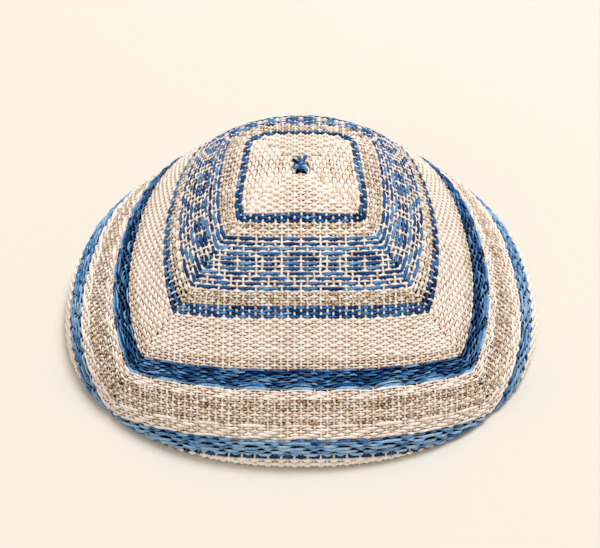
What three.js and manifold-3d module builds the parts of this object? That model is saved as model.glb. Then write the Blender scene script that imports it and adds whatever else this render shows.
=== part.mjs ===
// A hand-woven skullcap: four striped gores mitred into a dome and tied with thread at the crown.
// Millimetres, +Z up, front towards -Y, origin at the middle of the rim's resting plane.
import * as THREE from 'three';
import { mergeVertices } from 'three/addons/utils/BufferGeometryUtils.js';
import Module from 'manifold-3d';

// Driving sizes
const rimDiameter = 170;
const capHeight = 62; // from the resting plane to the cloth at the crown's middle
const crownLean = 0.2; // slope by which the soft crown tips towards the front
const clothThickness = 2;
const hemDepth = 8.5; // cloth turned up inside the rim
const hemEdge = 0.3; // height taken by the step at the hem's raw edge
const footChamfer = 0.7; // rounding of the fold where the rim rests
const seamGap = 0.3;
const blueBandRise = 0.7; // thick blue weft standing proud of the cloth
const lightBandRise = 0.4;
const seamDip = 0.5; // the cloth sinks this far into each mitre
const seamDipWidth = 3;
const dimpleDepth = 1.6; // pulled in by the tie
const dimpleRadius = 4;
const tieHoleRadius = 1.4;
const threadDiameter = 1.2;
const tieClearance = 0.3;
const knotRadius = 1.5;
const knotHeightShare = 0.8; // the knot's height against its width
const threadArch = 0.5; // a thread bows up this far between the knot and its end

// Mesh steps
const profileSteps = 240;
const columnsPerGore = 16;
const columnCrowding = 0.4; // from 0, even columns, to 1, crowded towards the seams
const normalStep = 0.004; // share stepped each way to measure the dome's slope
const threadSides = 8;
const knotSides = 14;
const threadSteps = 8;

// Slope of the cloth below level, in degrees, by its share of the way from crown to rim
const slopeTable = [
  { share: 0, slope: 0 },
  { share: 1 / 6, slope: 10 },
  { share: 2 / 6, slope: 31.5 },
  { share: 3 / 6, slope: 42.5 },
  { share: 4 / 6, slope: 41 },
  { share: 5 / 6, slope: 47 },
  { share: 1, slope: 89 },
];

// Exponent of the plan outline: 2 is a circle, more is squarer, with its corners on the seams
const squarenessTable = [
  { share: 0, exponent: 2.03 },
  { share: 1, exponent: 2.19 },
];

// The two front seams wander from 45 degrees by this much, in degrees
const frontSeamTable = [
  { share: 0, swing: 0 },
  { share: 0.28, swing: 0 },
  { share: 0.36, swing: -2 },
  { share: 0.5, swing: -1.8 },
  { share: 0.62, swing: 0.9 },
  { share: 0.8, swing: 1.2 },
  { share: 1, swing: 3 },
];

// Each woven stripe's outer edge, as a share of the way from crown to rim: along the middle of
// a gore, and along its seams, where the straight stripe meets the mitre further out
const stripeTable = [
  { name: 'centre cream', middle: 0.181, seam: 0.242, steps: 6, rise: 0 },
  { name: 'first frame and silver', middle: 0.262, seam: 0.322, steps: 2, rise: 0 },
  { name: 'lozenges', middle: 0.428, seam: 0.513, steps: 4, rise: 0 },
  { name: 'silver and second frame', middle: 0.506, seam: 0.605, steps: 2, rise: 0 },
  { name: 'wide cream', middle: 0.669, seam: 0.761, steps: 3, rise: 0 },
  { name: 'thick blue', middle: 0.734, seam: 0.829, steps: 4, rise: blueBandRise },
  { name: 'cream and silver', middle: 0.895, seam: 1, steps: 0, rise: 0 },
  { name: 'light blue', middle: 0.951, seam: 1.058, steps: 0, rise: lightBandRise },
];
const stepsBelowBands = 4; // rows between the thick blue band and the hem's top edge
const hemSteps = 3;

// Threads of the tie: where each points, how far it reaches and how high its end stands
const threadTable = [
  { azimuth: -52, reach: 3.1, lift: 0.1 },
  { azimuth: 34, reach: 3.4, lift: 0.1 },
  { azimuth: 145, reach: 2.9, lift: 1.8 },
  { azimuth: -156, reach: 1.8, lift: 2.3 },
  { azimuth: -118, reach: 3.3, lift: 0.6 },
];

// The gores in order from the front towards +X, each from its first seam to its second
const goreTable = [
  { name: 'panel_front', firstSwing: -1, secondSwing: 1 },
  { name: 'panel_right', firstSwing: 1, secondSwing: 0 },
  { name: 'panel_back', firstSwing: 0, secondSwing: 0 },
  { name: 'panel_left', firstSwing: 0, secondSwing: -1 },
];
const halfGore = 180 / goreTable.length; // degrees from a gore's middle to its seams

const wovenCloth = new THREE.MeshStandardMaterial({ color: 0xe9ddcc, roughness: 0.9, metalness: 0 });
const blueThread = new THREE.MeshStandardMaterial({ color: 0x2f5f9e, roughness: 0.8, metalness: 0 });

const radians = THREE.MathUtils.degToRad;
const lerp = THREE.MathUtils.lerp;

function valueAt(table, column, share) {
  const last = table.length - 1;
  let row = 1;
  while (row < last && table[row].share < share) row += 1;
  const low = table[row - 1];
  const high = table[row];
  const part = THREE.MathUtils.clamp((share - low.share) / (high.share - low.share), 0, 1);
  return lerp(low[column], high[column], part);
}

// The section from crown to rim, built up from its slopes and stretched to the real sizes
function crownProfile() {
  const points = [new THREE.Vector2(0, 0)];
  for (let step = 0; step < profileSteps; step += 1) {
    const slope = radians(valueAt(slopeTable, 'slope', (step + 0.5) / profileSteps));
    const previous = points[step];
    points.push(new THREE.Vector2(previous.x + Math.cos(slope), previous.y - Math.sin(slope)));
  }
  const end = points[profileSteps].clone();
  for (const point of points) {
    point.x *= rimDiameter / 2 / end.x;
    point.y = capHeight * (1 - point.y / end.y);
  }
  return points;
}

const profile = crownProfile();
let profileLength = 0;
for (let step = 1; step <= profileSteps; step += 1) {
  profileLength += profile[step].distanceTo(profile[step - 1]);
}
const hemShare = 1 - hemDepth / profileLength;
const tipShare = tieHoleRadius / profileLength;

function profileAt(share) {
  const place = THREE.MathUtils.clamp(share, 0, 1) * profileSteps;
  const step = Math.min(Math.floor(place), profileSteps - 1);
  return profile[step].clone().lerp(profile[step + 1], place - step);
}

// A point of the dome before seams and bands; azimuth in degrees from the front towards +X
function domePoint(share, azimuth) {
  const section = profileAt(share);
  const exponent = valueAt(squarenessTable, 'exponent', share);
  const sine = Math.sin(radians(azimuth));
  const cosine = Math.cos(radians(azimuth));
  const spread = Math.abs(sine) ** exponent + Math.abs(cosine) ** exponent;
  const reach = section.x * spread ** (-1 / exponent);
  const x = reach * sine;
  const y = -reach * cosine;
  const lean = crownLean * y * (1 - Math.min(share, 1) ** 2) ** 2;
  const dimple = dimpleDepth * Math.exp(-((reach / dimpleRadius) ** 2));
  return new THREE.Vector3(x, y, section.y + lean - dimple);
}

function domeNormal(share, azimuth) {
  const place = THREE.MathUtils.clamp(share, normalStep * 2, 1 - normalStep);
  const outwards = domePoint(place + normalStep, azimuth).sub(domePoint(place - normalStep, azimuth));
  const round = domePoint(place, azimuth + 0.5).sub(domePoint(place, azimuth - 0.5));
  return outwards.cross(round).normalize();
}

// A stripe line's share at a place across the gore, from 0 on its middle to 1 on a seam
function lineShare(line, across) {
  return lerp(line.middle, line.seam, across ** 2);
}

function riseAt(share, across) {
  for (let row = 1; row < stripeTable.length; row += 1) {
    const inner = lineShare(stripeTable[row - 1], across);
    const outer = lineShare(stripeTable[row], across);
    if (share > inner && share < outer) {
      const turn = (Math.PI * (share - inner)) / (outer - inner);
      return stripeTable[row].rise * Math.sqrt(Math.sin(turn));
    }
  }
  return 0;
}

// Rows of the gore's mesh: along the stripes, then evenly to the hem and down to the foot
function goreRows() {
  const rows = [{ middle: tipShare, seam: tipShare, folded: false }];
  for (const stripe of stripeTable) {
    const start = rows[rows.length - 1];
    for (let step = 1; step <= stripe.steps; step += 1) {
      const part = step / stripe.steps;
      const middle = lerp(start.middle, stripe.middle, part);
      rows.push({ middle, seam: lerp(start.seam, stripe.seam, part), folded: false });
    }
  }
  const start = rows[rows.length - 1];
  for (let step = 1; step <= stepsBelowBands; step += 1) {
    const part = step / stepsBelowBands;
    const middle = lerp(start.middle, hemShare, part);
    rows.push({ middle, seam: lerp(start.seam, hemShare, part), folded: false });
  }
  const footShare = 1 - footChamfer / profileLength;
  for (let step = 0; step <= hemSteps; step += 1) {
    const share = lerp(hemShare + hemEdge / profileLength, footShare, step / hemSteps);
    rows.push({ middle: share, seam: share, folded: true });
  }
  return rows;
}

function gorePoints(gore, row, place) {
  const across = Math.abs(place);
  const share = lineShare(row, across);
  const swing = valueAt(frontSeamTable, 'swing', share);
  const side = place < 0 ? gore.firstSwing : gore.secondSwing;
  const edge = Math.sign(place) * halfGore + side * swing;
  const reach = profileAt(share).x;
  const gapTurn = THREE.MathUtils.radToDeg(seamGap / 2 / reach);
  const azimuth = gore.middle + across * edge - place * gapTurn;
  const fromSeam = reach * radians(halfGore) * (1 - across);
  const dipFade = Math.min(1, reach / (3 * dimpleRadius));
  const dip = seamDip * dipFade * Math.exp(-((fromSeam / seamDipWidth) ** 2));
  const normal = domeNormal(share, azimuth);
  const middle = domePoint(share, azimuth);
  const outer = middle.clone().addScaledVector(normal, riseAt(share, across) - dip);
  const inner = middle.clone().addScaledVector(normal, -clothThickness * (row.folded ? 2 : 1) - dip);
  inner.z = Math.max(inner.z, footChamfer);
  return { outer, inner };
}

function footPoints(last) {
  const inward = new THREE.Vector3(-last.outer.x, -last.outer.y, 0).normalize();
  const outer = last.outer.clone().addScaledVector(inward, footChamfer).setZ(0);
  const inner = last.inner.clone().addScaledVector(inward, -footChamfer).setZ(0);
  return { outer, inner };
}

// One gore as a closed curved wall: outer face, inner face with its hem, and four edges
function goreGeometry(gore) {
  const rows = goreRows();
  const columns = columnsPerGore;
  const positions = [];
  for (let column = 0; column <= columns; column += 1) {
    const even = (2 * column) / columns - 1;
    const place = lerp(even, Math.sin((even * Math.PI) / 2), columnCrowding);
    const section = rows.map((row) => gorePoints(gore, row, place));
    section.push(footPoints(section[section.length - 1]));
    for (const { outer, inner } of section) positions.push(...outer.toArray(), ...inner.toArray());
  }
  const levels = rows.length + 1;
  const outerAt = (column, level) => 2 * (column * levels + level);
  const innerAt = (column, level) => outerAt(column, level) + 1;
  const index = [];
  const quad = (a, b, c, d) => index.push(a, b, c, a, c, d);
  const top = 0;
  const foot = levels - 1;
  for (let column = 0; column < columns; column += 1) {
    const next = column + 1;
    for (let level = 0; level < foot; level += 1) {
      const below = level + 1;
      quad(outerAt(column, level), outerAt(column, below), outerAt(next, below), outerAt(next, level));
      quad(innerAt(column, level), innerAt(next, level), innerAt(next, below), innerAt(column, below));
    }
    quad(outerAt(column, top), outerAt(next, top), innerAt(next, top), innerAt(column, top));
    quad(outerAt(column, foot), innerAt(column, foot), innerAt(next, foot), outerAt(next, foot));
  }
  for (let level = 0; level < foot; level += 1) {
    const below = level + 1;
    quad(outerAt(0, level), innerAt(0, level), innerAt(0, below), outerAt(0, below));
    quad(outerAt(columns, level), outerAt(columns, below), innerAt(columns, below), innerAt(columns, level));
  }
  const geometry = new THREE.BufferGeometry();
  geometry.setAttribute('position', new THREE.Float32BufferAttribute(positions, 3));
  geometry.setIndex(index);
  geometry.computeVertexNormals();
  return geometry;
}

const wasm = await Module();
wasm.setup();

function toSolid(geometry) {
  const bare = geometry.clone();
  bare.deleteAttribute('normal');
  bare.deleteAttribute('uv');
  const merged = mergeVertices(bare, 1e-4);
  const vertProperties = new Float32Array(merged.attributes.position.array);
  const triVerts = new Uint32Array(merged.index.array);
  return new wasm.Manifold(new wasm.Mesh({ numProp: 3, vertProperties, triVerts }));
}

function toGeometry(solid) {
  const { vertProperties, triVerts } = solid.getMesh();
  const geometry = new THREE.BufferGeometry();
  geometry.setAttribute('position', new THREE.BufferAttribute(vertProperties, 3));
  geometry.setIndex(new THREE.BufferAttribute(triVerts, 1));
  geometry.computeVertexNormals();
  return geometry;
}

// A bent thread from the knot's middle out over the cloth, clear of it by the tie's clearance
function threadGeometry({ azimuth, reach, lift }) {
  const radius = threadDiameter / 2;
  const above = radius + tieClearance;
  const start = domePoint(0, azimuth);
  start.z += above + knotRadius / 2;
  const bend = domePoint((0.6 * reach) / profileLength, azimuth);
  bend.z += above + threadArch + lift / 2;
  const end = domePoint(reach / profileLength, azimuth);
  end.z += above + lift;
  const path = new THREE.CatmullRomCurve3([start, bend, end]);
  const section = new THREE.Shape();
  for (let side = 0; side < threadSides; side += 1) {
    const turn = (side / threadSides) * Math.PI * 2;
    const corner = new THREE.Vector2(radius * Math.cos(turn), radius * Math.sin(turn));
    if (side === 0) section.moveTo(corner.x, corner.y);
    else section.lineTo(corner.x, corner.y);
  }
  return new THREE.ExtrudeGeometry(section, { steps: threadSteps, extrudePath: path });
}

// The knot, its loose ends and the stem that passes down between the tips of the gores
function tieGeometry() {
  const cloth = domePoint(0, 0).z;
  const knotMiddle = cloth + tieClearance + knotRadius * knotHeightShare;
  const knot = new THREE.SphereGeometry(knotRadius, knotSides, knotSides / 2);
  knot.rotateX(Math.PI / 2).scale(1, 1, knotHeightShare).translate(0, 0, knotMiddle);
  const stemRadius = tieHoleRadius - tieClearance;
  const stemHeight = knotMiddle - (cloth - clothThickness);
  const stem = new THREE.CylinderGeometry(stemRadius, stemRadius, stemHeight, knotSides);
  stem.rotateX(Math.PI / 2).translate(0, 0, knotMiddle - stemHeight / 2);
  let solid = toSolid(knot).add(toSolid(stem));
  for (const thread of threadTable) solid = solid.add(toSolid(threadGeometry(thread)));
  return toGeometry(solid);
}

const skullcap = new THREE.Group();
for (const [number, row] of goreTable.entries()) {
  const gore = { ...row, middle: 2 * halfGore * number };
  const panel = new THREE.Mesh(goreGeometry(gore), wovenCloth.clone());
  panel.name = gore.name;
  skullcap.add(panel);
}
const tie = new THREE.Mesh(tieGeometry(), blueThread);
tie.name = 'crown_tie';
skullcap.add(tie);

export default skullcap;
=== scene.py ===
# A hand-woven skullcap: four striped gores of real threads over a thin backing, tied at the crown
import math

import bpy
import numpy as np
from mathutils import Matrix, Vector


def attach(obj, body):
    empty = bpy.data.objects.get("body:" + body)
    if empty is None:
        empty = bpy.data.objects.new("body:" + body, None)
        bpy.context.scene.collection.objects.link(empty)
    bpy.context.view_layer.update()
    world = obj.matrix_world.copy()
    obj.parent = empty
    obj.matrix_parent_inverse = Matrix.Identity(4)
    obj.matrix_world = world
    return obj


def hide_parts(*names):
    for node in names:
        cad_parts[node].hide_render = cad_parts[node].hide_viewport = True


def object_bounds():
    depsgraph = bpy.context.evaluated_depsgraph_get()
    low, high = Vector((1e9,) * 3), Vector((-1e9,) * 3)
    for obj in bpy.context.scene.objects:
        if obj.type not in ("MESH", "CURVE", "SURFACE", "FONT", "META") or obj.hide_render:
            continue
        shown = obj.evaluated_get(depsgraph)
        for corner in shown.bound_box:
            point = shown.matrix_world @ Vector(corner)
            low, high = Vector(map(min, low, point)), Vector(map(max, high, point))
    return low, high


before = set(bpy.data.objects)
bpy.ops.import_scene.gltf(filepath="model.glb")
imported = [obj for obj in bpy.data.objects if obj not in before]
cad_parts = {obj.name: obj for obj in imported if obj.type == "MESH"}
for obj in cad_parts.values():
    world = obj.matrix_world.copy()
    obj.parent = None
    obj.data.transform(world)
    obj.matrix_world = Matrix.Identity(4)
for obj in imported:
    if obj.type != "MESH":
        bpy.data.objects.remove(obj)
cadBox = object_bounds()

mm = 0.001  # the tables below are in millimetres, Blender works in metres


def linearColour(hexText):
    parts = [int(hexText[i:i + 2], 16) / 255 for i in (1, 3, 5)]
    linear = [p / 12.92 if p <= 0.04045 else ((p + 0.055) / 1.055) ** 2.4 for p in parts]
    return (*linear, 1.0)


def addNode(tree, kind, inputs=None, **settings):
    node = tree.nodes.new(kind)
    for name, value in settings.items():
        setattr(node, name, value)
    for name, value in (inputs or {}).items():
        if isinstance(value, bpy.types.NodeSocket):
            tree.links.new(value, node.inputs[name])
        else:
            node.inputs[name].default_value = value
    return node


# The cap's form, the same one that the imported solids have
capShape = {
    "rimRadius": (cadBox[1][0] - cadBox[0][0]) / 2 / mm,
    "crownHeight": 62.0,  # cloth at the crown's middle
    "lean": 0.2,  # the soft crown tips forward by this slope
    "slopes": (0, 10, 31.5, 42.5, 41, 47, 89),  # degrees below level, at even steps from crown to rim
    "squareness": (2.03, 2.19),  # plan outline at crown and rim: 2 is a circle, more is squarer
    "dimpleDepth": 1.6,
    "dimpleRadius": 4.0,
    "foldRadius": 1.9,  # the rim's turned edge
    "footLift": 0.15,
    "hemDepth": 8.5,
    "clothDepth": 2.0,
    "seamDip": 0.5,
    "seamDipWidth": 3.0,
    "seamShares": (0, 0.2, 0.3, 0.4, 0.62, 0.8, 1),
    "seamSwings": (0, 2, 1.5, 0.5, 0.7, 1, 3),  # degrees that the front seams wander
    "halfGore": 45,  # degrees from a gore's middle to its seams
    "sectionSteps": 480,
    "foldSteps": 24,
    "hemSteps": 12,
    "hemStart": 0.2,
}

# Each gore faces one way. The swings say which of its seams are front seams, and in which sense;
# edges are the columns of the stripe table at its first seam, its middle and its other seam.
gores = {
    "Front": {"azimuth": 0, "node": "panel_front", "swings": (-1, 1), "edges": (1, 0, 1)},
    "Right": {"azimuth": 90, "node": "panel_right", "swings": (1, 0), "edges": (1, 2, 3)},
    "Back": {"azimuth": 180, "node": "panel_back", "swings": (0, 0), "edges": (3, 4, 3)},
    "Left": {"azimuth": 270, "node": "panel_left", "swings": (0, -1), "edges": (3, 2, 1)},
}

# Stripes from the crown out. Edges: how far out each one ends, as shares of the way from crown to rim, at
# the front gore's middle, the front seams, the side gores' middles, the back seams and the back's middle.
# Fatness: thread width over pick spacing. Shade: 0 dark to 1 light, and how far it may stray.
# Wave: how far the first and last pick bow between their ties. Rise: how far the stripe stands proud.
# Knuckles: how high the warp comes where it crosses over, 1 in plain weave, less where floats hide it.
# Dip: how deep the weft goes between floats, as a share of plain weave. Gap: the backing's colour there,
# where it isn't the stripe's own; on the backing's outer face that colour is painted shade between the
# threads.
plainStripe = {"weave": "tabby", "wave": (0, 0), "rise": 0, "knuckles": 1, "dip": 1, "gap": None}
stripes = [
    {"name": "centreCream", "edges": (0.177, 0.240, 0.167, 0.209, 0.155), "picks": 15,
     "fibre": "cream", "fatness": 0.9, "shade": (0.68, 0.16)},
    {"name": "frameOne", "edges": (0.210, 0.269, 0.190, 0.234, 0.175), "picks": 3,
     "fibre": "blue", "fatness": 0.78, "shade": (0.44, 0.26), "knuckles": 0.95},
    {"name": "silverOne", "edges": (0.262, 0.326, 0.252, 0.302, 0.217), "picks": 5,
     "fibre": "silver", "fatness": 0.82, "shade": (0.58, 0.14)},
    {"name": "lozenges", "edges": (0.428, 0.513, 0.392, 0.430, 0.345), "picks": 22, "weave": "lozenges",
     "fibre": "blue", "fatness": 1.08, "shade": (0.48, 0.24)},
    {"name": "silverTwo", "edges": (0.469, 0.561, 0.418, 0.438, 0.380), "picks": 5,
     "fibre": "silver", "fatness": 0.82, "shade": (0.58, 0.14)},
    {"name": "frameTwo", "edges": (0.506, 0.600, 0.437, 0.456, 0.415), "picks": 4,
     "fibre": "blue", "fatness": 0.78, "shade": (0.44, 0.26), "knuckles": 0.95},
    {"name": "wideCream", "edges": (0.634, 0.728, 0.547, 0.550, 0.550), "picks": 14,
     "fibre": "cream", "fatness": 0.85, "shade": (0.7, 0.14)},
    {"name": "looseCream", "edges": (0.669, 0.765, 0.578, 0.580, 0.590), "picks": 4,
     "fibre": "cream", "fatness": 0.7, "shade": (0.56, 0.2)},
    {"name": "thickBlue", "edges": (0.7275, 0.817, 0.641, 0.622, 0.655), "picks": 7, "weave": "blueFloats",
     "fibre": "blue", "fatness": 0.64, "shade": (0.56, 0.28), "wave": (0.1, 0.55), "rise": 0.1,
     "knuckles": -3, "dip": 1.9},
    {"name": "lensBlue", "edges": (0.735, 0.825, 0.649, 0.630, 0.662), "picks": 1, "weave": "lensFloats",
     "fibre": "blue", "fatness": 1.25, "shade": (0.8, 0.08), "knuckles": -2.6},
    {"name": "creamThree", "edges": (0.768, 0.860, 0.684, 0.665, 0.700), "picks": 4, "weave": "creamFloats",
     "fibre": "cream", "fatness": 0.77, "shade": (0.7, 0.18), "wave": (0.4, 0.1), "knuckles": 0.8},
    {"name": "silverThree", "edges": (0.848, 0.940, 0.757, 0.752, 0.790), "picks": 9,
     "fibre": "silver", "fatness": 0.76, "shade": (0.52, 0.14)},
    {"name": "creamFour", "edges": (0.895, 0.990, 0.800, 0.805, 0.845), "picks": 5, "weave": "creamFloats",
     "fibre": "cream", "fatness": 0.76, "shade": (0.74, 0.18), "wave": (0.1, 0.3), "knuckles": 0.8},
    {"name": "lightBlue", "edges": (0.951, 1.050, 0.875, 0.905, 0.930), "picks": 6, "weave": "shortFloats",
     "fibre": "blue", "fatness": 0.72, "shade": (0.84, 0.28), "wave": (0.2, 0.05), "knuckles": -2.8,
     "dip": 1.6},
    {"name": "edgeBlue", "edges": (0.961, 1.060, 0.885, 0.915, 0.940), "picks": 1,
     "fibre": "blue", "fatness": 0.8, "shade": (0.3, 0.15)},
    {"name": "edgeCream", "edges": (1.000, 1.105, 1.000, 1.000, 1.000), "picks": 3,
     "fibre": "cream", "fatness": 0.86, "shade": (0.92, 0.15), "gap": "blue"},
    {"name": "turnedEdge", "edges": (1.100, 1.215, 1.105, 1.120, 1.105), "picks": 7,
     "fibre": "cream", "fatness": 0.85, "shade": (0.6, 0.16)},
]
stripes = [{**plainStripe, **stripe} for stripe in stripes]
bindingPick = {"weave": "binding", "fibre": "cream", "fatness": 0.88, "shade": (0.76, 0.14), "knuckles": 0.7}

# Charted weaves, one text for each pick: b is weft on top, a dot is warp on top.
# B packs over the cream pick that binds it to the next B. The first letter stands on the gore's middle.
charts = {
    "lozenges": (
        ".bb.bbb.bb",
        ".bb..b..bb",
        "b.BBb.bBB.",
        "BB..BBB..B",
        ".BB..B..BB",
        ".BB..B..BB",
        ".BB..B..BB",
        "BB..BBB..B",
        "b..bb.bb..",
        "..bb...bb.",
        ".bb.bbb.bb",
    ),
    "blueFloats": (
        "bb.bb.b",
        "b.b.bb.",
        ".b.bb.b",
        "b.bb.b.",
        ".bb.b.b",
        "b.b.bb.",
        "bb.b.bb",
    ),
    "lensFloats": ("bb....b",),
    "creamFloats": (
        "bb.b.bb",
        ".b.bb.b",
        "b.bb.b.",
        ".bb.b.b",
        "bb.b.bb",
    ),
    "shortFloats": (
        "b.bb.b.",
        "bb.b.bb",
        ".bb.bb.",
        "b.b.bbb",
        "bb.bb.b",
        ".bb.b.b",
    ),
}

# How the threads run: lengths are millimetres, shares run from crown to rim
weaving = {
    "warpSpacing": 2.15,
    "warpRadius": 0.38,
    "midDepth": 0.8,  # middle of the woven layer, below the cap's surface
    "weftRise": 0.32,
    "warpRise": 0.34,
    "topSwell": 0.26,  # a weft is fatter by this share over a warp, and thinner under it
    "weftSteps": 3,  # along each weft, from one warp to the next
    "jitter": 0.07,
    "kinks": 0.5,  # share of the jitter that changes from point to point
    "slub": 0.09,  # a hand-spun thread's change of thickness
    "slubLength": 6,
    "spread": (0.7, 1.35),  # how thin and fat threads get as their stripe narrows and widens
    "bowWarps": 7,  # warps from one tie of a bowed pick to the next
    "pickStray": 0.4,  # share of a stripe's stray that whole picks take
    "creamAmongSilver": 0.28,
    # painted glints and dark specks on the foil yarn, as a change of its shade
    "paintedGlint": 0.3,
    "warpShade": 0.58,
    "warpStray": (0.1, 0.08),  # of whole warps, and along each
    "warpUneven": 0.08,
    "seamOverlap": 0.35,
    "seamDive": 0.35,
    "seamDiveLength": 0.6,
    "seamClearance": 0.3,  # between a weft's end and the nearest warp
    "lineReach": 1.08,  # lines are sampled this far, where 1 is the seam
    "lineSamples": 261,
    "cutSamples": 121,
    "firstShare": 0.013,
    "lastShare": 1.105,
    "seed": 11,
}

fibres = {"cream": 0, "blue": 1, "silver": 2}


def crownSection():
    shape = capShape
    share = np.linspace(0, 1, shape["sectionSteps"] + 1)
    slope = np.radians(np.interp(share, np.linspace(0, 1, len(shape["slopes"])), shape["slopes"]))
    between = (slope[1:] + slope[:-1]) / 2
    reach = np.concatenate([[0], np.cumsum(np.cos(between))])
    drop = np.concatenate([[0], np.cumsum(np.sin(between))])
    reach *= shape["rimRadius"] / reach[-1]
    height = shape["crownHeight"] * (1 - drop / drop[-1])
    length = np.hypot(np.diff(reach), np.diff(height)).sum()
    # the cloth leaves the dome a fold's radius above the floor, rolls under and climbs back inside
    fold = shape["foldRadius"]
    level = fold + shape["footLift"]
    kept = height > level
    turn = np.linspace(0, math.pi, shape["foldSteps"])
    foldReach = shape["rimRadius"] - fold + fold * np.cos(turn)
    foldHeight = level - fold * np.sin(turn)
    climb = np.linspace(shape["hemStart"], shape["hemDepth"], shape["hemSteps"])
    climbReach = np.interp(-(climb + level), -height, reach) - 2 * fold
    reach = np.concatenate([reach[kept], foldReach, climbReach])
    height = np.concatenate([height[kept], foldHeight, level + climb])
    walked = np.concatenate([[0], np.cumsum(np.hypot(np.diff(reach), np.diff(height)))])
    return walked / length, reach, height, length


sectionShare, sectionReach, sectionHeight, sectionLength = crownSection()


def domePoint(share, azimuth):
    reach = np.interp(share, sectionShare, sectionReach)
    height = np.interp(share, sectionShare, sectionHeight)
    power = np.interp(share, (0, 1), capShape["squareness"])
    sine, cosine = np.sin(azimuth), np.cos(azimuth)
    spread = (np.abs(sine) ** power + np.abs(cosine) ** power) ** (-1 / power)
    x, y = reach * spread * sine, -reach * spread * cosine
    lean = capShape["lean"] * y * (1 - np.minimum(share, 1) ** 2) ** 2
    dimple = capShape["dimpleDepth"] * np.exp(-(reach / capShape["dimpleRadius"]) ** 2)
    return np.stack([x, y, height + lean - dimple], -1)


def domeNormal(share, azimuth):
    step, turn = 0.004, 0.01
    place = np.maximum(share, 2 * step)
    outwards = domePoint(place + step, azimuth) - domePoint(place - step, azimuth)
    around = domePoint(place, azimuth + turn) - domePoint(place, azimuth - turn)
    normal = np.cross(outwards, around)
    return normal / np.linalg.norm(normal, axis=-1, keepdims=True)


stripeEdges = np.array([(0,) * 5] + [s["edges"] for s in stripes])


# Across a gore, between its wandering seams
def goreAzimuth(gore, share, across):
    swing = np.interp(share, capShape["seamShares"], capShape["seamSwings"])
    side = np.where(across < 0, gore["swings"][0], gore["swings"][1])
    return np.radians(gore["azimuth"] + capShape["halfGore"] * across + np.abs(across) * side * swing)


# A straight line of the cloth, named by its share on the front gore's middle and laid on the dome
# from one seam of a gore, at across -1, to the other, at 1
def clothLine(gore, line, across):
    first, middle, other = (np.interp(line, stripeEdges[:, 0], stripeEdges[:, column])
                            for column in gore["edges"])
    share = middle + (other - first) / 2 * across + ((other + first) / 2 - middle) * across ** 2
    return share, goreAzimuth(gore, share, across)


# Every gore has the same charted picks; its plain stripes have as many as their width there takes
def pickTable(gore):
    picks = []
    start = weaving["firstShare"]
    for stripe in stripes:
        end = stripe["edges"][0]
        width = float(np.diff(clothLine(gore, np.array([start, end]), 0.0)[0])[0])
        count = stripe["picks"]
        if stripe["weave"] != "lozenges":
            count = max(1, round(count * width / (end - start)))
        for row in range(count):
            part = (row + 0.5) / count
            pick = {**stripe, "row": row, "part": part, "number": len(picks),
                    "line": start + part * (end - start), "step": (end - start) / count,
                    "spacing": width / count * sectionLength}
            if stripe["weave"] == "lozenges" and row % 2:  # the cream picks that bind the lozenges
                pick.update(bindingPick)
            picks.append(pick)
        start = end
    return picks


def weftOnTop(pick, columns):
    if pick["weave"] == "tabby":
        return (pick["number"] + columns) % 2 == 0
    if pick["weave"] == "binding":
        chart = charts["lozenges"]
        before, after = (chart[(pick["row"] // 2 + k) % len(chart)] for k in (0, 1))
        packed = np.array([before[c % len(before)] + after[c % len(after)] == "BB" for c in columns])
        return ((pick["row"] // 2 + columns) % 2 == 0) & ~packed
    chart = charts[pick["weave"]]
    row = pick["row"] // 2 if pick["weave"] == "lozenges" else pick["row"]
    text = chart[row % len(chart)]
    return np.array([text[column % len(text)] != "." for column in columns])


def seamDip(toSeam):
    return capShape["seamDip"] * np.exp(-(np.maximum(toSeam, 0) / capShape["seamDipWidth"]) ** 2)


# A thread's path at given depths below the dome, with what the sweep needs at each point
def thread(share, azimuth, depth, radius, shade, fibre, along):
    normal = domeNormal(share, azimuth)
    points = domePoint(share, azimuth) - normal * depth[:, None]
    return {"points": points, "facing": normal, "radius": radius, "shade": np.clip(shade, 0, 1),
            "fibre": fibres[fibre], "along": along}


def wandering(rng, count):
    walk = np.cumsum(rng.normal(0, 1, count))
    walk -= np.linspace(walk[0], walk[-1], count)
    return walk / (np.abs(walk).max() + 1e-6)


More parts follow.
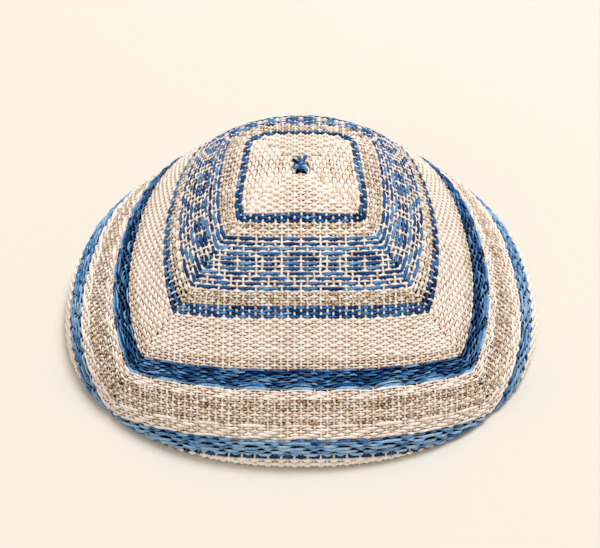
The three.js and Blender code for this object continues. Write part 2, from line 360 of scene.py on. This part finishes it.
# All wefts of one gore, and where each warp meets them
def weaveGore(gore, rng):
    size = weaving
    pitch = size["warpSpacing"]
    clear = size["seamClearance"]
    across = np.linspace(-size["lineReach"], size["lineReach"], size["lineSamples"])
    within = np.abs(across) <= 1
    wefts, crossings = [], {}
    for pick in pickTable(gore):
        share, azimuth = clothLine(gore, pick["line"], across)
        walked = np.linalg.norm(np.diff(domePoint(share, azimuth), axis=0), axis=1)
        walked = np.concatenate([[0], np.cumsum(walked)])
        walked -= np.interp(0, across, walked)
        kept = within & (share <= size["lastShare"])
        if kept.sum() < 5:
            continue
        reachesSeam = kept.sum() == within.sum()
        overlap = size["seamOverlap"] if reachesSeam else 0
        first, last = walked[kept][0] - overlap, walked[kept][-1] + overlap
        steps = size["weftSteps"]
        inner = np.arange(math.ceil((first + clear) / pitch * steps), (last - clear) / pitch * steps) / steps
        stations = np.concatenate([[first / pitch], inner, [last / pitch]])
        length = stations * pitch
        columns = np.arange(math.floor(stations[0]) - 1, math.ceil(stations[-1]) + 2)
        onTop = weftOnTop(pick, columns)
        tops = np.where(onTop, 1.0, -1.0)
        lower = np.floor(stations).astype(int) - columns[0]
        blend = 0.5 - 0.5 * np.cos(np.pi * (stations - np.floor(stations)))
        level = tops[lower] * (1 - blend) + tops[lower + 1] * blend
        nearest = np.round(stations).astype(int) - columns[0]
        # one shade for each float, changed where the thread is out of sight
        base, stray = pick["shade"]
        base += stray * rng.uniform(-size["pickStray"], size["pickStray"])
        floats = np.cumsum(~onTop)
        shades = base + stray * rng.uniform(-1, 1, floats[-1] + 1)[floats]
        place = np.interp(length, walked, across)
        toSeam = np.minimum(length - first, last - length)
        seamDive = size["seamDive"] * np.exp(-toSeam / size["seamDiveLength"]) if reachesSeam else 0
        rise = pick["rise"] * math.sqrt(math.sin(math.pi * pick["part"]))
        wave = np.interp(pick["part"], (0, 1), pick["wave"])
        drift = wandering(rng, len(length)) + size["kinks"] * rng.normal(0, 1, len(length))
        drift = size["jitter"] * drift - wave * np.cos(2 * np.pi * stations / size["bowWarps"])
        lumps = np.arange(first, last + 1.5 * size["slubLength"], size["slubLength"])
        slubs = 1 + size["slub"] * np.interp(length, lumps, rng.normal(0, 1, len(lumps)))
        # where a stripe widens towards a seam its threads are beaten up looser and lie fatter
        near, far = (clothLine(gore, pick["line"] + half * pick["step"], place)[0] for half in (-0.5, 0.5))
        narrowest, widest = (part * pick["spacing"] for part in size["spread"])
        spacing = np.clip((far - near) * sectionLength, narrowest, widest)
        radius = spacing * pick["fatness"] / 2 * slubs * (1 + size["topSwell"] * level)
        depth = size["midDepth"] - size["weftRise"] * pick["dip"] * level + seamDive - rise + seamDip(toSeam)
        atShare, atAzimuth = clothLine(gore, pick["line"], place)
        fibre = pick["fibre"]
        if fibre == "silver" and rng.random() < size["creamAmongSilver"]:
            fibre = "cream"
        # random painted glints and dark specks, added to the foil yarn's shade point by point
        paintedGlints = rng.uniform(-1, 1, len(length)) * size["paintedGlint"] * (fibre == "silver")
        wefts.append(thread(atShare + drift / sectionLength, atAzimuth, depth, radius,
                            shades[nearest] + paintedGlints, fibre, length))
        for column, top in zip(columns, onTop):
            at = column * pitch
            if first + clear < at < last - clear:
                height = min(-1, pick["knuckles"]) if top else pick["knuckles"]
                toEnd = min(at - first, last - at)
                crossing = (pick["line"], np.interp(at, walked, across), height, toEnd, rise)
                crossings.setdefault(column, []).append(crossing)
    return wefts, crossings


def warpThreads(gore, crossings, rng):
    size = weaving
    warps = []
    for column, crossed in sorted(crossings.items()):
        if len(crossed) < 2:
            continue
        line, place, level, toSeam, rise = np.array(crossed, dtype=float).T
        share, azimuth = clothLine(gore, line, place)
        drift = size["jitter"] * rng.normal(0, 1, len(line))
        depth = size["midDepth"] - size["warpRise"] * level + seamDip(toSeam) - rise
        radius = size["warpRadius"] * (1 + size["warpUneven"] * rng.normal(0, 1, len(line)))
        whole, along = size["warpStray"]
        shade = size["warpShade"] + whole * rng.normal() + along * rng.normal(0, 1, len(line))
        warps.append(thread(share, azimuth + drift / np.maximum(10, share * capShape["rimRadius"]), depth,
                            radius, shade, "cream", share * sectionLength))
    return warps


# Thread paths become a mesh of edges that carries each point's radius, shade and cloth normal
def pathMesh(name, threads):
    def joined(key):
        return np.concatenate([t[key] for t in threads]).astype(np.float32)

    counts = [len(t["points"]) for t in threads]
    starts = np.concatenate([[0], np.cumsum(counts)])
    edges = np.concatenate([np.stack([np.arange(a, b - 1), np.arange(a + 1, b)], 1)
                            for a, b in zip(starts[:-1], starts[1:])])
    mesh = bpy.data.meshes.new(name)
    mesh.from_pydata(joined("points") * mm, edges, [])
    values = {
        "threadRadius": joined("radius") * mm,
        "shade": joined("shade"),
        "along": joined("along"),
        "fibre": np.repeat([float(t["fibre"]) for t in threads], counts).astype(np.float32),
    }
    for key, array in values.items():
        mesh.attributes.new(key, "FLOAT", "POINT").data.foreach_set("value", array)
    facing = mesh.attributes.new("facing", "FLOAT_VECTOR", "POINT")
    facing.data.foreach_set("vector", joined("facing").ravel())
    return mesh


# Geometry Nodes: sweep a flattened round section along each thread path
def threadTree():
    tree = bpy.data.node_groups.new("threadSweep", "GeometryNodeTree")
    face = tree.interface
    face.new_socket("Geometry", in_out="OUTPUT", socket_type="NodeSocketGeometry")
    face.new_socket("Geometry", in_out="INPUT", socket_type="NodeSocketGeometry")
    face.new_socket("Sides", in_out="INPUT", socket_type="NodeSocketInt")
    face.new_socket("Flatness", in_out="INPUT", socket_type="NodeSocketFloat")
    for fibre in fibres:
        face.new_socket(fibre, in_out="INPUT", socket_type="NodeSocketMaterial")
    given = addNode(tree, "NodeGroupInput").outputs

    def attribute(name, kind="FLOAT"):
        return addNode(tree, "GeometryNodeInputNamedAttribute", {"Name": name}, data_type=kind).outputs[0]

    path = addNode(tree, "GeometryNodeMeshToCurve", {"Mesh": given["Geometry"]})
    turned = addNode(tree, "GeometryNodeSetCurveNormal", {"Curve": path.outputs[0]}, mode="FREE")
    tree.links.new(attribute("facing", "FLOAT_VECTOR"), turned.inputs["Normal"])
    circle = addNode(tree, "GeometryNodeCurvePrimitiveCircle", {"Resolution": given["Sides"], "Radius": 1.0})
    squash = addNode(tree, "ShaderNodeCombineXYZ", {"X": given["Flatness"], "Y": 1.0, "Z": 1.0})
    section = addNode(tree, "GeometryNodeTransform",
                      {"Geometry": circle.outputs[0], "Scale": squash.outputs[0]})
    turn = addNode(tree, "GeometryNodeSplineParameter").outputs["Factor"]
    marked = addNode(tree, "GeometryNodeStoreNamedAttribute",
                     {"Geometry": section.outputs[0], "Name": "round", "Value": turn})
    swept = addNode(tree, "GeometryNodeCurveToMesh",
                    {"Curve": turned.outputs[0], "Profile Curve": marked.outputs[0],
                     "Scale": attribute("threadRadius"), "Fill Caps": True})
    pair = addNode(tree, "ShaderNodeCombineXYZ", {"X": attribute("round"), "Y": attribute("along")})
    last = addNode(tree, "GeometryNodeStoreNamedAttribute",
                   {"Geometry": swept.outputs[0], "Name": "threadUv"}, data_type="FLOAT2", domain="CORNER")
    tree.links.new(pair.outputs[0], last.inputs["Value"])
    for name in ("round", "along", "threadRadius", "facing"):
        last = addNode(tree, "GeometryNodeRemoveAttribute", {"Geometry": last.outputs[0], "Name": name})
    last = addNode(tree, "GeometryNodeSetShadeSmooth", {"Geometry": last.outputs[0]})
    last = addNode(tree, "GeometryNodeRealizeInstances", {"Geometry": last.outputs[0]})
    for fibre, number in fibres.items():
        same = addNode(tree, "FunctionNodeCompare",
                       {"A": attribute("fibre"), "B": float(number), "Epsilon": 0.4}, operation="EQUAL")
        last = addNode(tree, "GeometryNodeSetMaterial",
                       {"Geometry": last.outputs[0], "Selection": same.outputs[0], "Material": given[fibre]})
    last = addNode(tree, "GeometryNodeRemoveAttribute", {"Geometry": last.outputs[0], "Name": "fibre"})
    addNode(tree, "NodeGroupOutput", {"Geometry": last.outputs[0]})
    return tree


def addPiece(name, mesh):
    piece = bpy.data.objects.new(name, mesh)
    bpy.context.scene.collection.objects.link(piece)
    return piece


# Runs a tree on a mesh and keeps the result as a plain mesh
def grownPiece(name, mesh, tree, values):
    piece = addPiece(name, mesh)
    modifier = piece.modifiers.new("grow", "NODES")
    modifier.node_group = tree
    for socket in tree.interface.items_tree:
        if socket.in_out == "INPUT" and socket.name in values:
            modifier[socket.identifier] = values[socket.name]
    graph = bpy.context.evaluated_depsgraph_get()
    grown = bpy.data.meshes.new_from_object(piece.evaluated_get(graph), depsgraph=graph)
    piece.modifiers.remove(modifier)
    piece.data = grown
    grown.name = name
    return piece


def shadeRamp(tree, level, stops, interpolation="LINEAR"):
    ramp = addNode(tree, "ShaderNodeValToRGB", {"Fac": level})
    ramp.color_ramp.interpolation = interpolation
    elements = ramp.color_ramp.elements
    while len(elements) < len(stops):
        elements.new(0.5)
    for element, (position, colour) in zip(elements, stops):
        element.position = position
        element.color = linearColour(colour)
    return ramp.outputs["Color"]


def newMaterial(name, **constants):
    material = bpy.data.materials.new(name)
    material.use_nodes = True
    shader = material.node_tree.nodes["Principled BSDF"]
    for socket, value in constants.items():
        shader.inputs[socket.replace("_", " ")].default_value = value
    return material, material.node_tree, shader


yarnDetail = {
    "speckAndGlintSize": 0.7,
    "plyPaintedShade": 0.34,  # painted shade between the plies to painted highlight on their backs
    "plyRelief": 0.1,
    "reliefStrength": 0.8,
}


# Spun yarn, its plies laid round each other: the colour is painted lighter along each ply's back and darker
# between the plies, as painted highlight and shade, and the rest stays matt.
# A lay is the length in millimetres of one turn, and the speck weight is how far the specks change the
# shade: colour specks on cotton, painted glints and dark specks on the foil yarn.
def spunYarn(name, stops, plies, lay, speckAndGlint, **constants):
    material, tree, shader = newMaterial(name, **constants)
    shade = addNode(tree, "ShaderNodeAttribute", attribute_name="shade")
    uv = addNode(tree, "ShaderNodeUVMap", uv_map="threadUv")
    bands = 2 * math.pi / 10  # one wave of the texture for each unit
    laid = addNode(tree, "ShaderNodeMapping",
                   {"Vector": uv.outputs[0], "Scale": (bands * plies, bands / lay, 1)})
    twist = addNode(tree, "ShaderNodeTexWave",
                    {"Vector": laid.outputs[0], "Scale": 1.0, "Distortion": 0.8, "Detail": 1.0},
                    bands_direction="DIAGONAL")
    place = addNode(tree, "ShaderNodeTexCoord").outputs["Object"]
    speckAndGlintNoise = addNode(tree, "ShaderNodeTexNoise",
                     {"Vector": place, "Scale": 1 / (yarnDetail["speckAndGlintSize"] * mm), "Detail": 3.0})
    level = shade.outputs["Fac"]
    # the ply twist adds painted shade and highlight to the colour; the specks add colour specks, and painted
    # glints and dark specks on the foil yarn
    for source, weight in ((twist, yarnDetail["plyPaintedShade"]), (speckAndGlintNoise, speckAndGlint)):
        offset = addNode(tree, "ShaderNodeMath", {0: source.outputs["Fac"], 1: weight, 2: -weight / 2},
                         operation="MULTIPLY_ADD")
        level = addNode(tree, "ShaderNodeMath", {0: level, 1: offset.outputs[0]}, operation="ADD").outputs[0]
    bump = addNode(tree, "ShaderNodeBump",
                   {"Height": twist.outputs["Fac"], "Distance": yarnDetail["plyRelief"] * mm,
                    "Strength": yarnDetail["reliefStrength"]})
    tree.links.new(shadeRamp(tree, level, stops), shader.inputs["Base Color"])
    tree.links.new(bump.outputs[0], shader.inputs["Normal"])
    return material


# unbleached ivory, running down to tan for the painted shade between the plies
creamRamp = ((0.0, "#7C583A"), (0.3, "#CFB59A"), (0.5, "#EADBCD"), (0.75, "#F6EDE6"), (1.0, "#FCF8F3"))
# vat-dyed, so the dye is uneven from navy to sky; its darkest end also takes the painted shade between the
# plies
blueRamp = ((0.0, "#040F28"), (0.25, "#0C3266"), (0.5, "#235E9E"), (0.75, "#5C98D0"), (1.0, "#ABCEEA"))
# metallised strip wound on cotton: painted glints at its white end and painted shade at its dark brown end
foilRamp = ((0.0, "#664828"), (0.3, "#B59268"), (0.5, "#DBC9B2"), (0.7, "#F2ECE3"), (1.0, "#FFFFFF"))
yarns = {
    "cream": spunYarn("unbleachedCotton", creamRamp, plies=2, lay=2.4, speckAndGlint=0.3,
                      Roughness=0.8, Specular_IOR_Level=0.2, Sheen_Weight=0.15, Sheen_Roughness=0.5),
    "blue": spunYarn("dyedBlueCotton", blueRamp, plies=3, lay=7.0, speckAndGlint=0.6,
                     Roughness=0.6, Specular_IOR_Level=0.12),
    # for the foil yarn the speck noise is strong enough to paint glints and dark specks into its colour
    "silver": spunYarn("foilYarn", foilRamp, plies=3, lay=0.9, speckAndGlint=2.0, Metallic=0.2, Roughness=0.28),
}
print("yarns ready")

# The camera stands where the photograph was taken from
view = {"distance": 600, "elevation": 37.5, "aimHeight": 14.9, "focalPixels": 1672.3, "pixelsWide": 600,
        "aside": -0.36, "sensorWidth": 36}


def placeCamera():
    camera = bpy.data.objects.new("camera", bpy.data.cameras.new("camera"))
    bpy.context.scene.collection.objects.link(camera)
    tilt = math.radians(view["elevation"])
    camera.location = (view["aside"] * mm, -view["distance"] * math.cos(tilt) * mm,
                       (view["aimHeight"] + view["distance"] * math.sin(tilt)) * mm)
    camera.rotation_euler = (math.pi / 2 - tilt, 0, 0)
    camera.data.sensor_width = view["sensorWidth"]
    camera.data.lens = view["sensorWidth"] * view["focalPixels"] / view["pixelsWide"]
    camera.data.clip_start = 0.01
    bpy.context.scene.camera = camera


placeCamera()


def finishPiece(piece, node=None):
    if node:
        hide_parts(node)
    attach(piece, "root")
    print(piece.name, sum(len(f.vertices) - 2 for f in piece.data.polygons), "triangles")
    return piece


threadSweep = threadTree()
rng = np.random.default_rng(weaving["seed"])
threadSections = {"weft": {"Sides": 5, "Flatness": 0.85}, "warp": {"Sides": 4, "Flatness": 0.9}}
wovenPieces = {}
for goreName, gore in gores.items():
    wefts, crossings = weaveGore(gore, rng)
    threads = {"weft": wefts, "warp": warpThreads(gore, crossings, rng)}
    wovenPieces[goreName] = []
    for kind, paths in threads.items():
        name = kind + goreName
        piece = grownPiece(name, pathMesh(name, paths), threadSweep, {**threadSections[kind], **yarns})
        wovenPieces[goreName].append(finishPiece(piece))
print("gores woven")

# Thin backing of each gore, seen in the gaps between the threads, where its dark outer face is painted
# shade, and from inside
backing = {
    "outerDepth": 1.35,
    "rows": 44,
    "edgeRows": 16,  # where the cloth turns under
    "edgeShares": (0.95, 0.957),
    "columns": 25,
    "lineSamples": 400,
    # dark outer colours: painted shade seen in the gaps between the threads
    "paintedGapShades": {"cream": "#6B4829", "blue": "#02060E", "silver": "#2B1E10"},
    "reverseColours": {"cream": "#E2D2BD", "blue": "#4E79AD", "silver": "#B5A793"},
    "reversePick": 1.1,
    "faceRelief": 0.1,
    "reverseRelief": 0.35,
}


# Both sides of the backing carry the stripes, the outer side in dark colours as painted shade between the
# threads; only the wrong side, seen inside the cap, shows its weave
def backingMaterial(name, colours, weaveHeight):
    material, tree, shader = newMaterial(name, Roughness=0.95, Specular_IOR_Level=0.05)
    line = addNode(tree, "ShaderNodeAttribute", attribute_name="line").outputs["Fac"]
    along = addNode(tree, "ShaderNodeAttribute", attribute_name="alongLine").outputs["Fac"]
    span = weaving["lastShare"]
    stops = [(start / span, colours[stripe["gap"] or stripe["fibre"]])
             for start, stripe in zip(stripeEdges[:-1, 0], stripes)]
    part = addNode(tree, "ShaderNodeMath", {0: line, 1: span}, operation="DIVIDE")
    waves = []
    for source, period in ((line, backing["reversePick"] / sectionLength), (along, weaving["warpSpacing"])):
        turned = addNode(tree, "ShaderNodeMath", {0: source, 1: math.pi / period}, operation="MULTIPLY")
        waves.append(addNode(tree, "ShaderNodeMath", {0: turned.outputs[0]}, operation="SINE").outputs[0])
    weave = addNode(tree, "ShaderNodeMath", {0: waves[0], 1: waves[1]}, operation="MULTIPLY")
    bump = addNode(tree, "ShaderNodeBump", {"Height": weave.outputs[0], "Distance": weaveHeight * mm})
    tree.links.new(shadeRamp(tree, part.outputs[0], stops, "CONSTANT"), shader.inputs["Base Color"])
    tree.links.new(bump.outputs[0], shader.inputs["Normal"])
    return material


backingSides = [backingMaterial("backingPaintedShade", backing["paintedGapShades"], backing["faceRelief"]),
                backingMaterial("backingReverse", backing["reverseColours"], backing["reverseRelief"])]


def gridFaces(rows, columns):
    grid = np.arange(2 * rows * columns).reshape(2, rows, columns)
    outer, inner = grid
    faces = []
    for r in range(rows - 1):
        for c in range(columns - 1):
            faces.append((outer[r, c], outer[r + 1, c], outer[r + 1, c + 1], outer[r, c + 1]))
            faces.append((inner[r, c], inner[r, c + 1], inner[r + 1, c + 1], inner[r + 1, c]))
        faces.append((outer[r, 0], inner[r, 0], inner[r + 1, 0], outer[r + 1, 0]))
        faces.append((outer[r, -1], outer[r + 1, -1], inner[r + 1, -1], inner[r, -1]))
    for c in range(columns - 1):
        faces.append((outer[0, c], outer[0, c + 1], inner[0, c + 1], inner[0, c]))
        faces.append((outer[-1, c], inner[-1, c], inner[-1, c + 1], outer[-1, c + 1]))
    return [tuple(map(int, face)) for face in faces]


def backingPiece(goreName, gore):
    size = backing
    first, last = weaving["firstShare"], weaving["lastShare"]
    upper, lower = size["edgeShares"]
    shares = np.concatenate([np.linspace(first, upper, size["rows"]),
                             np.linspace(lower, last, size["edgeRows"])])
    across = np.linspace(-1, 1, size["columns"])
    share, place = np.meshgrid(shares, across, indexing="ij")
    azimuth = goreAzimuth(gore, share, place)
    surface, normal = domePoint(share, azimuth), domeNormal(share, azimuth)
    layers = [surface - normal * depth for depth in (size["outerDepth"], capShape["clothDepth"])]
    lines = np.linspace(0, last, size["lineSamples"])
    line = np.array([np.interp(shares, clothLine(gore, lines, a)[0], lines) for a in across]).T
    reach = np.interp(share, sectionShare, sectionReach)
    faces = gridFaces(*share.shape)
    mesh = bpy.data.meshes.new(f"backing{goreName}")
    mesh.from_pydata(np.concatenate([layer.reshape(-1, 3) for layer in layers]) * mm, [], faces)
    for key, values in (("line", line), ("alongLine", reach * np.radians(capShape["halfGore"]) * place)):
        both = np.concatenate([values.ravel(), values.ravel()]).astype(np.float32)
        mesh.attributes.new(key, "FLOAT", "POINT").data.foreach_set("value", both)
    for material in backingSides:
        mesh.materials.append(material)
    inside = np.array([min(face) >= share.size for face in faces], dtype=np.int32)
    mesh.polygons.foreach_set("material_index", inside)
    mesh.shade_smooth()
    return finishPiece(addPiece(f"backing{goreName}", mesh), gore["node"])


# The gore's cut, measured flat by its picks: each one's length times its spacing
def flatGore(gore):
    across = np.linspace(-1, 1, weaving["cutSamples"])
    area, widest = 0, 0
    for pick in pickTable(gore):
        share, azimuth = clothLine(gore, pick["line"], across)
        steps = np.linalg.norm(np.diff(domePoint(share, azimuth), axis=0), axis=1)
        length = steps[share[1:] <= weaving["lastShare"]].sum()
        widest = max(widest, length)
        area += length * pick["spacing"]
    depth = (weaving["lastShare"] - weaving["firstShare"]) * sectionLength
    return (widest * mm, depth * mm), area * mm * mm


for goreName, gore in gores.items():
    piece = backingPiece(goreName, gore)
    flat, area = flatGore(gore)
    print("flat gore", [round(side / mm, 1) for side in flat], round(area * 1e6), "square mm")
print("backing laid")

# The tie: threads out of a knot in the dimple, each of three plies, and a stem down between the gores
tie = {
    "threads": ((-52, 3.1, 0.1), (34, 3.4, 0.1), (145, 2.9, 1.8), (-156, 1.8, 2.3), (-118, 3.3, 0.6)),
    "shades": (0.66, 0.6, 0.5, 0.62, 0.16),  # each thread's, from navy to sky
    "radius": 0.6,
    "clearance": 0.3,
    "arch": 0.5,
    "lay": 3.4,  # length of one turn of the plies
    "turns": 2.3,  # of the knot's wrapping
    "wrapRadius": 0.85,
    "wrapWaver": 0.25,
    "knotHeights": (0.7, 2.3),  # above the cloth
    "overThread": ((-1.0, -0.9, 0.7), (-0.4, -0.5, 2.1), (0.2, 0.2, 2.3), (0.9, 0.9, 1.0)),
    "bendAt": 0.6,  # share of a thread's reach where it turns down
    "startLift": 0.6,
    "threadSteps": 14,
    "wrap": {"width": 0.85, "shade": 0.5, "steps": 44},  # widths are shares of the radius
    "over": {"width": 0.9, "shade": 0.62, "steps": 16},
    "stem": {"width": 1.2, "shade": 0.3, "steps": 10},
    "plyOut": 0.5,  # how far the plies lie from the thread's middle, and how wide they are
    "plyWidth": 0.56,
    "plyStray": 0.12,
    "fray": 0.5,  # how far the plies part at a thread's end
}


def pliedThread(path, radius, shade, rng, plies=3):
    tangent = np.gradient(path, axis=0)
    tangent /= np.linalg.norm(tangent, axis=1, keepdims=True)
    aside = np.cross(tangent, (0.12, 0.1, 1.0))
    aside /= np.linalg.norm(aside, axis=1, keepdims=True)
    above = np.cross(aside, tangent)
    along = np.concatenate([[0], np.cumsum(np.linalg.norm(np.diff(path, axis=0), axis=1))])
    fray = 1 + tie["fray"] * (along / along[-1]) ** 4
    strands = []
    for ply in range(plies):
        turn = 2 * np.pi * (along / tie["lay"] + ply / plies)
        out = tie["plyOut"] * radius * fray
        points = path + out[:, None] * (aside * np.cos(turn)[:, None] + above * np.sin(turn)[:, None])
        tone = np.full(len(path), shade + rng.uniform(-tie["plyStray"], tie["plyStray"]))
        width = np.full(len(path), tie["plyWidth"] * radius)
        strands.append({"points": points, "facing": above, "radius": width, "shade": np.clip(tone, 0, 1),
                        "fibre": fibres["blue"], "along": along})
    return strands


def smoothPath(corners, count):
    corners = np.array(corners, dtype=float)
    padded = np.concatenate([2 * corners[:1] - corners[1:2], corners, 2 * corners[-1:] - corners[-2:-1]])
    path = []
    for spot in np.linspace(0, len(corners) - 1, count):
        k = min(int(spot), len(corners) - 2)
        t = spot - k
        a, b, c, d = padded[k:k + 4]
        path.append(b + 0.5 * t * (c - a + t * (2 * a - 5 * b + 4 * c - d + t * (3 * (b - c) + d - a))))
    return np.array(path)


def crownTie():
    strands = []
    cloth = domePoint(0.0, 0.0)[2]
    above = tie["radius"] + tie["clearance"]
    low, high = tie["knotHeights"]
    for (degrees, reach, lift), shade in zip(tie["threads"], tie["shades"]):
        azimuth = math.radians(degrees)
        start = (0, 0, cloth + above + tie["startLift"])
        bend = domePoint(tie["bendAt"] * reach / sectionLength, azimuth)
        bend = bend + (0, 0, above + tie["arch"] + lift / 2)
        end = domePoint(reach / sectionLength, azimuth) + (0, 0, above + lift)
        path = smoothPath([start, bend, end], tie["threadSteps"])
        strands += pliedThread(path, tie["radius"], shade, rng)
    turn = np.linspace(0, 2 * np.pi * tie["turns"], tie["wrap"]["steps"])
    height = cloth + np.linspace(low, high - 0.5, len(turn)) + tie["wrapWaver"] * np.sin(turn)
    wrap = np.stack([tie["wrapRadius"] * np.cos(turn), tie["wrapRadius"] * np.sin(turn), height], -1)
    over = [(x, y, cloth + z) for x, y, z in tie["overThread"]]
    stem = [(0, 0, cloth + low + tie["startLift"]), (0.05, 0, cloth - tie["startLift"]),
            (0, 0, cloth - capShape["clothDepth"])]
    knot = {"wrap": wrap, "over": smoothPath(over, tie["over"]["steps"]),
            "stem": smoothPath(stem, tie["stem"]["steps"])}
    for part, path in knot.items():
        strands += pliedThread(path, tie[part]["width"] * tie["radius"], tie[part]["shade"], rng)
    return strands


tieSweep = {"Sides": 8, "Flatness": 1.0, **yarns}
finishPiece(grownPiece("tieThreads", pathMesh("tieThreads", crownTie()), threadSweep, tieSweep),
            "crown_tie")
print("tie knotted")


# Seamless paper, with a faint tooth
def paperMaterial():
    material, tree, shader = newMaterial("seamlessPaper", Base_Color=linearColour("#D2D0C9"), Roughness=0.9)
    place = addNode(tree, "ShaderNodeTexCoord").outputs["Object"]
    grain = addNode(tree, "ShaderNodeTexNoise", {"Vector": place, "Scale": 1 / (2 * mm), "Detail": 4.0})
    bump = addNode(tree, "ShaderNodeBump",
                   {"Height": grain.outputs["Fac"], "Distance": 0.05 * mm, "Strength": 0.2})
    tree.links.new(bump.outputs[0], shader.inputs["Normal"])
    return material


floorHalf = 3.0  # metres, like the places of the lights
floorMesh = bpy.data.meshes.new("floor")
floorCorners = [(x * floorHalf, y * floorHalf, 0) for x, y in ((-1, -1), (1, -1), (1, 1), (-1, 1))]
floorMesh.from_pydata(floorCorners, [], [(0, 1, 2, 3)])
floorMesh.materials.append(paperMaterial())
addPiece("floor", floorMesh)

lights = {
    "key": {"place": (0.6, 0.8, 2.3), "size": 1.0, "power": 52, "colour": "#FDFEFF"},
    "fill": {"place": (-0.9, -1.6, 1.6), "size": 1.6, "power": 7, "colour": "#FFFAF4"},
}
for lightName, light in lights.items():
    lamp = bpy.data.lights.new(lightName, "AREA")
    lamp.size = light["size"]
    lamp.energy = light["power"]
    lamp.color = linearColour(light["colour"])[:3]
    holder = bpy.data.objects.new(lightName, lamp)
    holder.location = light["place"]
    holder.rotation_euler = (-Vector(light["place"])).to_track_quat("-Z", "Y").to_euler()
    bpy.context.scene.collection.objects.link(holder)
daylight = {"colour": "#FFEFE0", "strength": 0.72}  # soft light from all round
world = bpy.data.worlds.new("studio")
world.use_nodes = True
background = world.node_tree.nodes["Background"]
background.inputs["Color"].default_value = linearColour(daylight["colour"])
background.inputs["Strength"].default_value = daylight["strength"]
bpy.context.scene.world = world
bpy.context.scene.view_settings.view_transform = "Standard"
